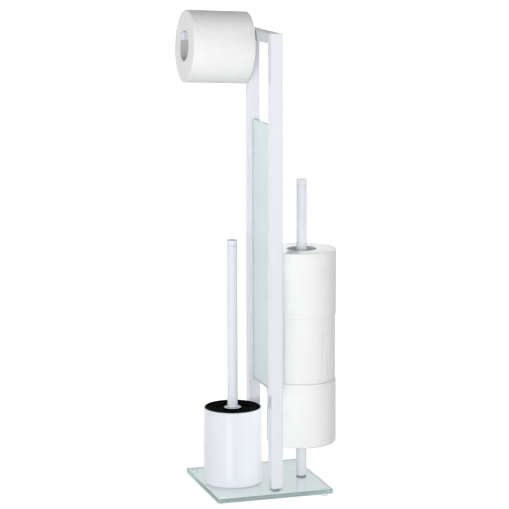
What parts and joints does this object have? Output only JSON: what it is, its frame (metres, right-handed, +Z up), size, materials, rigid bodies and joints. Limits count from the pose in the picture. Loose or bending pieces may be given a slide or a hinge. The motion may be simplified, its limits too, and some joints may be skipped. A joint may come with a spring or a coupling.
{
  "type": "toilet butler stand",
  "caption": "Free-standing toilet butler: glass base on bumper feet, square tube frame with satin glass panel, arm and rod for tissue rolls, and a lidded brush in a cup holder.",
  "frame": {"origin": "on the floor, under the middle of the stand's outer box", "axes": "+X to the side of the spare rolls, +Y to the rear post and +Z up"},
  "size_m": [0.2238, 0.2022, 0.7298],
  "materials": {
    "white_steel": "white powder coat, satin",
    "white_plastic": "white moulded plastic, satin",
    "clear_glass": "clear float glass, green at its ground edges",
    "satin_glass": "satin glass with a fine matt face",
    "clear_rubber": "clear soft bumper",
    "seal_rubber": "pale grey extruded seal",
    "gasket_rubber": "grey rubber, matt",
    "zinc_steel": "zinc plated",
    "black_plastic": "black moulded plastic, semi-gloss",
    "grey_plastic": "grey moulded nylon",
    "bristle": "dark nylon bristles",
    "tissue": "soft white tissue, matt",
    "cardboard": "spiral wound grey card"
  },
  "bodies": {
    "root": {"base_plate": "clear_glass", "foot_front_left": "clear_rubber", "foot_front_right": "clear_rubber", "foot_rear_left": "clear_rubber", "foot_rear_right": "clear_rubber", "front_post_screw": "zinc_steel", "rear_post_screw": "zinc_steel", "rod_screw": "zinc_steel", "holder_screw": "zinc_steel", "front_post_washer": "grey_plastic", "rear_post_washer": "grey_plastic", "rod_washer": "grey_plastic", "holder_washer": "grey_plastic", "front_post": "white_steel", "front_post_insert": "grey_plastic", "front_post_gasket": "gasket_rubber", "rear_post": "white_steel", "rear_post_insert": "grey_plastic", "rear_post_gasket": "gasket_rubber", "top_bar": "white_steel", "glass_panel": "satin_glass", "panel_seal_front": "seal_rubber", "panel_seal_rear": "seal_rubber", "paper_arm": "white_steel", "paper_arm_cap": "white_plastic", "spare_rod": "white_steel", "spare_rod_gasket": "gasket_rubber", "spare_rod_insert": "grey_plastic", "spare_rod_cap": "white_plastic", "roll_stop": "white_steel", "roll_stop_screw": "zinc_steel", "holder_cup": "white_steel", "holder_pad": "gasket_rubber", "holder_nut": "zinc_steel"},
    "liner": {"holder_liner": "black_plastic"},
    "brush": {"brush_lid": "black_plastic", "brush_flange": "white_steel", "brush_handle": "white_steel", "brush_handle_insert": "grey_plastic", "brush_handle_cap": "white_plastic", "brush_neck": "black_plastic", "brush_head_core": "black_plastic", "brush_bristles": "bristle"},
    "hanging_roll": {"hanging_roll_paper": "tissue", "hanging_roll_core": "cardboard"},
    "spare_roll_lower": {"spare_roll_lower_paper": "tissue", "spare_roll_lower_core": "cardboard"},
    "spare_roll_middle": {"spare_roll_middle_paper": "tissue", "spare_roll_middle_core": "cardboard"},
    "spare_roll_upper": {"spare_roll_upper_paper": "tissue", "spare_roll_upper_core": "cardboard"}
  },
  "joints": [
    {"name": "liner_lift", "type": "slide", "parent": "root", "child": "liner", "axis": [0, 0, 1], "range_m": [0, 0.118]},
    {"name": "brush_lift", "type": "slide", "parent": "liner", "child": "brush", "axis": [0, 0, 1], "range_m": [0, 0.115]},
    {"name": "hanging_roll_spin", "type": "hinge", "parent": "root", "child": "hanging_roll", "pos_m": [-0.01204, 0.0464, 0.67019], "axis": [0.9986, 0, -0.0523], "continuous": true},
    {"name": "spare_roll_lower_lift", "type": "slide", "parent": "root", "child": "spare_roll_lower", "axis": [0, 0, 1], "range_m": [0, 0.315]},
    {"name": "spare_roll_middle_lift", "type": "slide", "parent": "spare_roll_lower", "child": "spare_roll_middle", "axis": [0, 0, 1], "range_m": [0, 0.31]},
    {"name": "spare_roll_upper_lift", "type": "slide", "parent": "spare_roll_middle", "child": "spare_roll_upper", "axis": [0, 0, 1], "range_m": [0, 0.21]}
  ]
}
